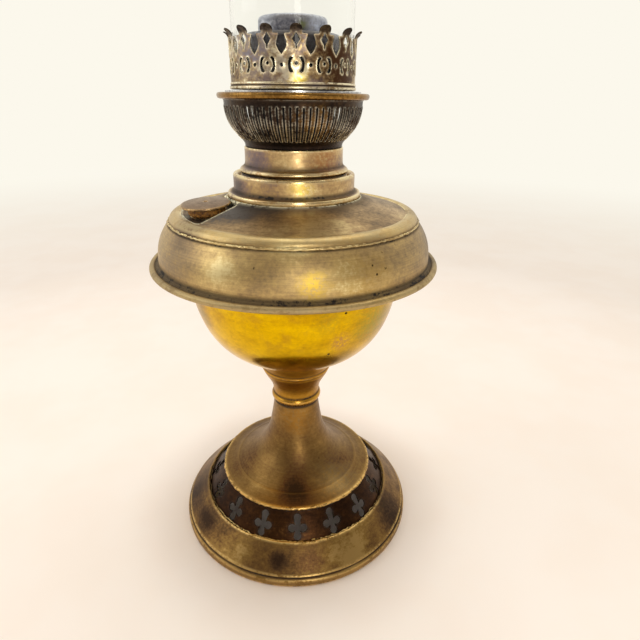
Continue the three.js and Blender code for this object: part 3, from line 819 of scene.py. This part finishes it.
def make_font():
    flange = (
        [(78.6, 190.5), (84.0, 190.4)] + arc((84.9, 192.1), 1.75, -100, 75, 12)
        + curve([(84.9, 193.95), (84.0, 193.9), (83.1, 193.5), (82.5, 193.9), (81.6, 194.6),
                 (81.15, 195.6)], 4)
    )
    wall = curve([(81.15, 195.6), (80.95, 200.0), (80.2, 204.6), (78.8, 208.8), (76.8, 212.7), (74.6, 216.0),
                  (73.4, 217.5)], 6)
    crimp = curve([(73.4, 217.5), (73.75, 217.9), (73.6, 218.4), (73.0, 218.5), (72.95, 219.0)], 3)
    bead = curve([(72.95, 219.0), (72.2, 220.6), (70.8, 222.0), (69.0, 222.75), (67.2, 222.75), (66.2, 222.3),
                  (65.8, 222.2)], 5)
    inner = curve([(65.6, 221.0), (69.4, 221.3), (71.8, 218.4), (75.6, 212.2), (79.2, 203.6), (79.9, 195.4),
                   (78.6, 190.5)], 5)

    def relief(angle, r, z):
        if z < 194.8:
            return 0.12 * (ripple(angle, z, 3.0, 9.0) - 0.9)
        lumps = 0.3 * (ripple(angle, z, 1.5, 9.0) - 0.35)
        if 217.3 < z < 219.2 and r > 72.5:
            lumps += 0.6 * ripple(angle, z, 34, 2.2) + 0.35 * ripple(angle, z, 80, 4.4)
        return lumps

    shell = spun(flange + wall + crimp + bead + inner[:-1], 1.3, 400, relief)
    # Painted shade: the flange is darkened all over and its bright edges dimmed.
    on_flange = shell.vertices[:, 2] < 194.6
    shell.wear_and_glint = np.where(on_flange, 0.3 * shell.wear_and_glint, shell.wear_and_glint)
    shell.grime_and_shade = np.where(on_flange, np.maximum(shell.grime_and_shade, 0.35), shell.grime_and_shade)
    flaky = lambda a, r, z: 1.3 * ripple(a, 0, 36, 15.0) - 0.75
    seam = lathe(arc((73.35, 218.2), 0.5, 0, 330, 11), 600, flaky)
    # The seam's crimp is bright all round, in dashes: bared metal with painted glints.
    seam.wear_and_glint[:] = 1.0
    detailed("font_shell", "lamp_base", "font_brass", FONT_BRASS, shell, seam)

    rail = shoulder_rail()
    hole = pocket_outline(rail)
    shoulder = pierced_wall(rail, 1.1, [hole], 1.8, start=CAP_ANGLE - math.pi, edge=0.7)
    # The shoulder darkens towards the collar.
    shoulder.grime_and_shade = 0.75 * np.clip((shoulder.vertices[:, 2] - 227.6) / 2.4, 0, 1)
    under = PLATEAU_Z - 1.1
    plateau = spun([(39.25, PLATEAU_Z), (39.25, under), (32.0, under), (32.0, PLATEAU_Z)], 2.5, 180)
    piece("font_shoulder", "lamp_base", [], "font_brass", CROWN_BRASS, shoulder, plateau,
          pocket_walls(hole, rail))


def make_collar():
    ring = curve([(37.6, COLLAR_Z), (38.3, 230.3), (38.55, 231.2), (38.5, 232.3), (38.2, 233.0),
                  (37.7, 233.15)], 4)
    ledge = curve([(37.7, 233.15), (36.8, 233.3), (35.9, 233.7), (35.3, 234.4), (35.1, 235.2)], 4)
    lip = curve([(35.05, 241.4), (35.0, 242.4), (34.5, 243.2), (33.6, COLLAR_TOP), (32.9, 243.2),
                 (32.4, 242.7)], 4)
    outline = [(31.6, COLLAR_Z)] + ring + ledge + [(35.05, 238.0)] + lip + [(32.0, 242.0), (31.6, 241.0)]
    detailed("font_collar", "lamp_base", "collar_brass", COLLAR_BRASS,
             spun(outline, 0.9, 200, handmade(0.1, 12.0), 0.8))


def make_filler():
    """Neck, cork and cap; heights are above the floor of the pocket."""
    neck = [(7.8, -7.6), (9.4, -7.6), (9.4, 1.1), (9.1, 1.4), (8.0, 1.4), (7.8, 1.1)]
    detailed("filler_neck", "lamp_base", "collar_brass", COLLAR_BRASS, spun(neck, 1.0, 72).on_filler())
    washer = curve([(7.8, 1.7), (9.8, 1.7), (10.3, 2.2), (10.35, 3.6), (10.2, 5.0), (9.9, 5.9),
                    (7.8, 5.9)], 3)
    lumpy = lambda a, r, z: -0.5 * abs(ripple(a, z * 9, 5, 3.0)) if r > 9 else 0.0
    detailed("filler_washer", "cap_washer", "cork", CORK, spun(washer, 0.6, 120, lumpy).on_filler())
    plug = [(0.0, -4.6), (6.8, -4.6), (7.4, -4.0), (7.4, 6.2)]
    rim = curve([(13.3, 6.2), (13.75, 6.35), (13.88, 6.8), (13.7, 7.25), (13.2, 7.45)], 4)
    dome = curve([(13.2, 7.45), (9.0, 7.85), (5.0, 8.05), (1.6, 8.1), (1.0, 7.95), (0.7, 7.4), (0.0, 7.3)], 5)
    cap = lathe(plug + rim + dome, 120, reach=0.5)
    detailed("filler_cap", "filler_cap", "cap_brass", CAP_BRASS, cap.on_filler())


# ---- burner ----
def make_burner():
    outline = (
        [(29.5, BURNER_Z), (30.9, BURNER_Z), (30.9, 242.0), (30.2, 242.8)]
        + curve([(29.8, 243.4), (30.4, 243.8), (30.95, 244.6), (30.95, 245.4), (30.3, 246.3), (29.2, 247.0),
                 (28.4, 247.8), (28.05, 249.0)], 4)
        + [(27.95, 252.0)] + curve([(27.95, 255.9), (28.0, 256.7), (27.9, 257.2), (27.4, BAND_TOP)], 3)
        + [(26.9, BAND_TOP), (26.9, 248.4), (23.0, 248.4), (23.0, 247.2), (28.0, 246.6), (29.5, 245.0)]
    )
    detailed("burner_base", "burner", "collar_brass", COLLAR_BRASS,
             spun(outline, 0.9, 180, handmade(0.1, 14.0), 0.7))


def stadium(half_width, low, high):
    """Upright slot with round ends, in millimetres."""
    top = arc((0, high - half_width), half_width, 0, 180, 5)
    return top + arc((0, low + half_width), half_width, 180, 360, 5)


def taper(loop, rail):
    """Narrows a slot where the wall's radius is smaller, so that the ribs keep their share."""
    radii = [r for r, _ in rail]
    return [(x * (0.35 + 0.65 * np.interp(s, along(rail), radii) / max(radii)), s) for x, s in loop]


def make_basket():
    rail = curve([(27.3, 257.9), (27.5, 259.2), (28.9, 261.2), (31.3, 263.9), (33.8, 266.9), (35.8, 270.3),
                  (37.1, 274.1), (37.75, 278.0), (37.9, 281.3)], 5)
    slot = taper(stadium(0.52, 4.4, along(rail)[-1] - 3.2), rail)
    holes = [in_angles(slot, rail, TAU * (i + 0.5) / SLOTS) for i in range(SLOTS)]
    lips = lambda gap: 0.28 * np.exp(-((gap / 0.4) ** 2))
    wall = pierced_wall(rail, 0.5, holes, 0.8, relief=lips, edge=0.26)
    # Painted highlight on the slot lips, strongest at their lower ends, and painted shade on the rest of the
    # wall.
    wall.wear_and_glint *= 0.3 + 0.7 * np.clip((274.0 - wall.vertices[:, 2]) / 9.0, 0, 1)
    wall.grime_and_shade = np.maximum(wall.grime_and_shade, 0.35 * (1 - wall.wear_and_glint))
    piece("basket_wall", "burner", ["basket"], "basket_brass", BASKET_BRASS, wall)
    rim = (
        [(37.2, 281.0)] + curve([(37.95, 281.2), (38.6, 281.45), (39.8, 281.5), (40.9, 281.9), (41.35, 282.8),
                                 (41.35, 283.6), (40.8, 284.4), (39.8, 284.65), (38.9, 284.6),
                                 (38.2, 284.1)], 4)
        + [(37.5, 283.2)]
    )
    piece("basket_rim", "burner", [], "basket_brass", RIM_BRASS,
          spun(rim, 0.8, 200, handmade(0.12, 17.0), 0.7))


def make_deck():
    """Flat plate with a ring of small air holes near its edge."""
    rail = [(36.7, DECK_TOP), (23.0, DECK_TOP)]
    count = 36
    holes = [in_angles(arc((0, 0), 0.75, 0, 330, 11), rail, TAU * i / count, 1.9) for i in range(count)]
    top = pierced_wall(resample(rail, 1.5), DECK_TOP - DECK_Z, holes, 1.4, start=-TAU / count / 2, edge=0.4)
    detailed("burner_deck", "burner", "nickel", NICKEL, top)


def make_tubes():
    _, low, high = span("outer_wick_tube")
    outer = [(22.5, low)] + curve([(22.5, 296.6), (22.9, 298.2), (24.0, 300.2), (24.35, 301.8)], 4)
    lip = [(24.35, high - 0.4), (24.1, high), (23.8, high), (23.6, high - 0.4)]
    inner = curve([(23.6, 301.9), (23.2, 300.4), (22.1, 298.4), (21.8, 297.0)], 4) + [(21.8, low)]
    tube = spun(outer + lip + inner, 2.0, 128)
    tube.grime_and_shade = np.where(tube.vertices[:, 2] < DECK_Z, 1.0, tube.grime_and_shade)
    detailed("outer_wick_tube", "burner", "grey_tin", GREY_TIN, tube)
    _, low, high = span("wick")
    wick = [(19.05, low), (21.25, low), (21.25, high - 0.6), (20.8, high), (19.5, high), (19.05, high - 0.6)]
    frayed = lambda a, r, z: 0.12 * ripple(a, z * 12, 12, 21.0) - 0.05
    detailed("wick", "wick", "cotton", COTTON, spun(wick, 1.5, 120, frayed))


def make_knob():
    """Winder knob: dished disc with a milled edge on a tapered hub."""
    low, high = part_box("wick_knob")
    near, far = low.y / MM, high.y / MM
    hub = [(0.0, near + 6.2), (1.8, near + 6.2), (1.8, near)] + curve(
        [(3.1, near), (3.2, near + 1.4), (3.7, near + 2.6), (5.2, near + 3.5), (8.0, far - 3.75)], 5)
    edge = curve([(8.0, far - 3.75), (8.75, far - 3.3), (8.95, far - 2.6), (8.95, far - 1.5),
                  (8.6, far - 0.9), (7.8, far - 0.65)], 4)
    dish = curve([(7.8, far - 0.65), (6.6, far - 1.1), (4.5, far - 1.25), (3.2, far - 0.6), (1.6, far - 0.05),
                  (0.0, far)], 5)
    milled = lambda a, r, z: -0.22 * (0.5 + 0.5 * math.cos(36 * a)) if r > 8.6 else 0.0
    knob = lathe(hub + edge + dish, 288, milled, 0.6).laid_along_y((low.z + high.z) / 2 / MM)
    detailed("wick_knob", "winder", "cap_brass", CAP_BRASS, knob)


# ---- gallery, spreader and chimney ----
def hook(side, middle):
    """One of the two curved slots that face each other under a tine."""
    t = np.linspace(-1, 1, 9)
    centre = [(3.35 - 1.0 * q * q, middle + 3.0 * q) for q in t]
    width = [1.0 - 0.38 * (1 - q * q) for q in t]
    outer = [(x + w, s) for (x, s), w in zip(centre, width)]
    inner = [(x - w, s) for (x, s), w in zip(centre, width)]
    (low_x, low), (high_x, high) = centre[0], centre[-1]
    outline = outer + [(high_x, high + 0.5)] + inner[::-1] + [(low_x, low - 0.5)]
    return [(side * x, s) for x, s in outline]


def make_gallery():
    up_from = lambda height: GALLERY_Z + height
    bead = (
        [(30.1, GALLERY_Z)]
        + curve([(33.3, GALLERY_Z), (33.85, up_from(0.4)), (33.95, up_from(1.0)), (33.6, up_from(1.6)),
                 (33.35, up_from(1.9)), (33.55, up_from(2.3)), (33.6, up_from(2.8)), (33.3, up_from(3.3))], 3)
        + [(32.65, up_from(3.3)), (32.65, up_from(1.3)), (30.1, up_from(1.3))]
    )
    foot_z = up_from(3.2)
    rail = [(33.2, foot_z), (33.2, 300.0)] + curve(
        [(33.3, 309.0), (33.5, 310.2), (34.2, 311.5), (35.2, 312.4), (36.3, 313.0)], 4)
    rail = resample(rail, 0.8)
    up = lambda z: z - foot_z
    pitch = TAU / TINES
    half = math.pi * 33.3 / TINES
    waist, lobe = half - 2.5, 3.0
    neck_s, lobe_s = up(309.6), along(rail)[-1] - lobe - 0.05

    # One tine's outline from right to left, as (millimetres round, millimetres up the rail).
    flank = curve([(half, up(300.8)), (half - 1.5, up(302.6)), (waist, up(304.6))], 3) + curve(
        [(waist, up(304.6)), (half - 2.3, up(306.6)), (half - 1.45, up(309.0))], 3)[1:]
    tine = flank + [(half - 1.6, up(309.5)), (3.2, neck_s), (2.3, neck_s + 0.7)]
    tine += arc((0, lobe_s), lobe, -20, 90, 7)
    tine += [(-x, s) for x, s in tine[::-1][1:]]
    diamond = [(0, up(310.1)), (1.95, up(307.2)), (0.45, up(304.9)), (0.25, up(303.3)), (-0.25, up(303.3)),
               (-0.45, up(304.9)), (-1.95, up(307.2))]
    dots = [arc((0, up(297.2)), 0.8, 0, 324, 9), arc((half, up(296.5)), 0.9, 0, 324, 9)]
    cuts = [diamond, dots[0], hook(-1, up(296.6)), hook(1, up(296.6)), dots[1]]

    # The join runs up beside one tine's waist, clear of every hole.
    tine = tine[::-1]
    join = next(i for i, (x, s) in enumerate(tine) if abs(x + waist) < 1e-6)
    top, holes = [], []
    for k in range(TINES):
        azimuth = TINE_PHASE + pitch * k
        top += in_angles(tine[1:] if k else tine[join:], rail, azimuth)
        holes += [in_angles(loop, rail, azimuth) for loop in cuts]
    top += in_angles(tine[1:join + 1], rail, TINE_PHASE + TAU)
    lips = lambda gap: 0.22 * np.exp(-((gap / 0.4) ** 2))
    wall = pierced_wall(rail, 0.55, holes, 0.8, top=top, start=top[0][0], relief=lips, edge=0.36)
    # The lobes that are bent outwards are painted dark, partly tarnish and partly shade, and lose their
    # bright edges.
    wall.grime_and_shade = np.clip((wall.vertices[:, 2] - 309.2) / 1.6, 0, 1)
    wall.wear_and_glint = wall.wear_and_glint * (1 - wall.grime_and_shade)
    detailed("gallery", "gallery", "gallery_brass", GALLERY_BRASS, spun(bead, 0.6, 200, None, 0.6), wall)


def make_spreader():
    r, skirt, seat = 18.0, 17.5, 309.5
    under = [(0.0, SPREADER_TOP - 1.0), (r - 2.0, SPREADER_TOP - 1.2), (skirt - 0.8, SPREADER_TOP - 2.4)]
    plug = [(skirt - 0.8, SPREADER_Z), (skirt, SPREADER_Z), (skirt, seat)]
    flange = [(18.6, seat), (18.6, seat + 0.5)]
    crown = curve([(r, seat + 0.8), (r, 316.0), (r - 0.1, SPREADER_TOP - 1.5), (r - 0.6, SPREADER_TOP - 0.5),
                   (r - 1.6, SPREADER_TOP - 0.05)], 4)
    top = [(11.0, SPREADER_TOP), (5.0, SPREADER_TOP - 0.2), (0.0, SPREADER_TOP - 0.25)]
    detailed("flame_spreader", "spreader", "nickel", SPREADER_NICKEL,
             lathe(resample(under + plug + flange + crown + top, 1.5), 160, handmade(0.1, 19.0)))


def make_chimney():
    r, neck, thick = CHIMNEY_R, 24.2, 1.7
    shoulder = curve([(r, 348.0), (r - 0.5, 356.0), (r - 2.2, 365.0), (r - 4.5, 374.5), (neck + 1.6, 385.0),
                      (neck + 0.9, 396.0)], 6)
    outer = resample([(r - 0.3, CHIMNEY_Z), (r, CHIMNEY_Z + 0.8)] + shoulder, 6.0)
    outer += resample([(neck + 0.9, 396.0), (neck, CHIMNEY_TOP - 1.0)], 20.0)[1:]
    inner = [(x - thick, z) for x, z in outer[1:]]
    lip = arc((neck - thick / 2, CHIMNEY_TOP - thick / 2), thick / 2, 0, 180, 6)
    outline = outer + lip + inner[::-1] + [(r - thick, CHIMNEY_Z + 0.1)]
    detailed("chimney", "chimney", "clear_glass", GLASS, lathe(outline, 144))


# ---- the CAD pieces that stay as they are ----
def dress_hidden_parts():
    looks = {"stem_tube": GREY_TIN, "foot_spider": FOOT_BRASS, "tie_nut": STEM_BRASS,
             "draught_tube": GREY_TIN, "wick_carrier": COLLAR_BRASS, "wick_pinion": COLLAR_BRASS,
             "spindle_gland": COLLAR_BRASS}
    for name, material in looks.items():
        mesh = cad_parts[name].data
        mesh.materials.clear()
        mesh.materials.append(material)
        mesh.shade_smooth()
        mesh.set_sharp_from_angle(angle=math.radians(35))


# ---- room, light and camera ----
BACKDROP = rgb("fcf8ec")
BLACK = (0.0, 0.0, 0.0, 1.0)


def make_floor():
    """Pale floor with a faint glow, which fades into the bright backdrop far from the lamp."""
    mesh = bpy.data.meshes.new("floor")
    size = 6.0
    corners = [(-size, -size, 0), (size, -size, 0), (size, size, 0), (-size, size, 0)]
    mesh.from_pydata(corners, [], [(0, 1, 2, 3)])
    material, shader, place = new_material("pale_floor")
    distance = node("VectorMath", {0: place}, operation="LENGTH").outputs["Value"]
    far = between(distance, 0.3, 1.9)
    glow = between(distance, 0.083, 0.13, 0.0, 0.13)
    tone = mix(between(noise_of(place, 9.0, 3.0), 0.35, 0.65), rgb("f6eae2"), rgb("f8eee8"))
    feed(shader, {
        "Base Color": mix(far, tone, BLACK), "Roughness": 0.6, "Specular IOR Level": 0.0,
        "Emission Color": BACKDROP, "Emission Strength": maths("MAXIMUM", far, glow),
        "Normal": bumped(noise_of(place, 500.0), 0.15, 0.0003)})
    mesh.materials.append(material)
    placed("floor", mesh)


def make_world():
    """Bright in front of the camera and grey behind it, which gives the brass something to mirror."""
    world = bpy.data.worlds.new("studio")
    bpy.context.scene.world = world
    world.use_nodes = True
    tree = world.node_tree
    tree.nodes.clear()
    way = node("TexCoord", {}, tree).outputs["Generated"]
    _, depth, _ = node("SeparateXYZ", {"Vector": way}).outputs
    tone = mix(between(depth, -0.75, 0.5), rgb("968c80"), BACKDROP)
    sky = node("Background", {"Color": tone, "Strength": 1.0})
    node("OutputWorld", {"Surface": sky.outputs[0]})


def area_light(name, place, size, watts, colour):
    """A rectangular light that faces the middle of the lamp.

    Glass doesn't show the lights through itself, as from behind they would whiten the chimney.
    """
    data = bpy.data.lights.new(name, "AREA")
    data.shape = "RECTANGLE"
    data.size, data.size_y = size
    data.energy = watts
    data.color = colour
    light = placed(name, data)
    light.location = place
    aim = Vector((0.0, 0.0, 0.2)) - Vector(place)
    light.rotation_euler = aim.to_track_quat("-Z", "Y").to_euler()
    light.visible_transmission = False


def make_lights():
    """A tall narrow window in front, and soft light from the left and from above."""
    area_light("window", (0.24, -1.6, 0.62), (0.3, 1.15), 6.5, (1.0, 0.97, 0.88))
    area_light("soft_left", (-1.6, -0.2, 1.1), (1.2, 1.2), 6.0, (0.97, 0.98, 1.0))
    area_light("soft_top", (0.2, 0.4, 1.9), (1.6, 1.6), 8.0, (1.0, 0.99, 0.96))


def make_camera():
    """Looks down on the lamp from in front, a little to the right and rolled, with a wide lens."""
    heading, down, roll = (math.radians(d) for d in (3.16, 24.573, 0.782))
    data = bpy.data.cameras.new("camera")
    data.lens = 27.34
    data.sensor_width = 36.0
    camera = placed("camera", data)
    turn = (Matrix.Rotation(-heading, 4, "Z") @ Matrix.Rotation(math.pi / 2 - down, 4, "X")
            @ Matrix.Rotation(roll, 4, "Z"))
    camera.matrix_world = Matrix.Translation((0.0, -0.2924, 0.2825)) @ turn
    bpy.context.scene.camera = camera


make_camera()
make_foot()
make_vents()
make_cone()
make_socket()
make_bowl()
make_font()
make_collar()
make_filler()
make_burner()
make_basket()
make_deck()
make_tubes()
make_knob()
make_gallery()
make_spreader()
make_chimney()
dress_hidden_parts()
make_floor()
make_world()
make_lights()

bpy.context.scene.view_settings.view_transform = "Standard"
bpy.context.view_layer.update()
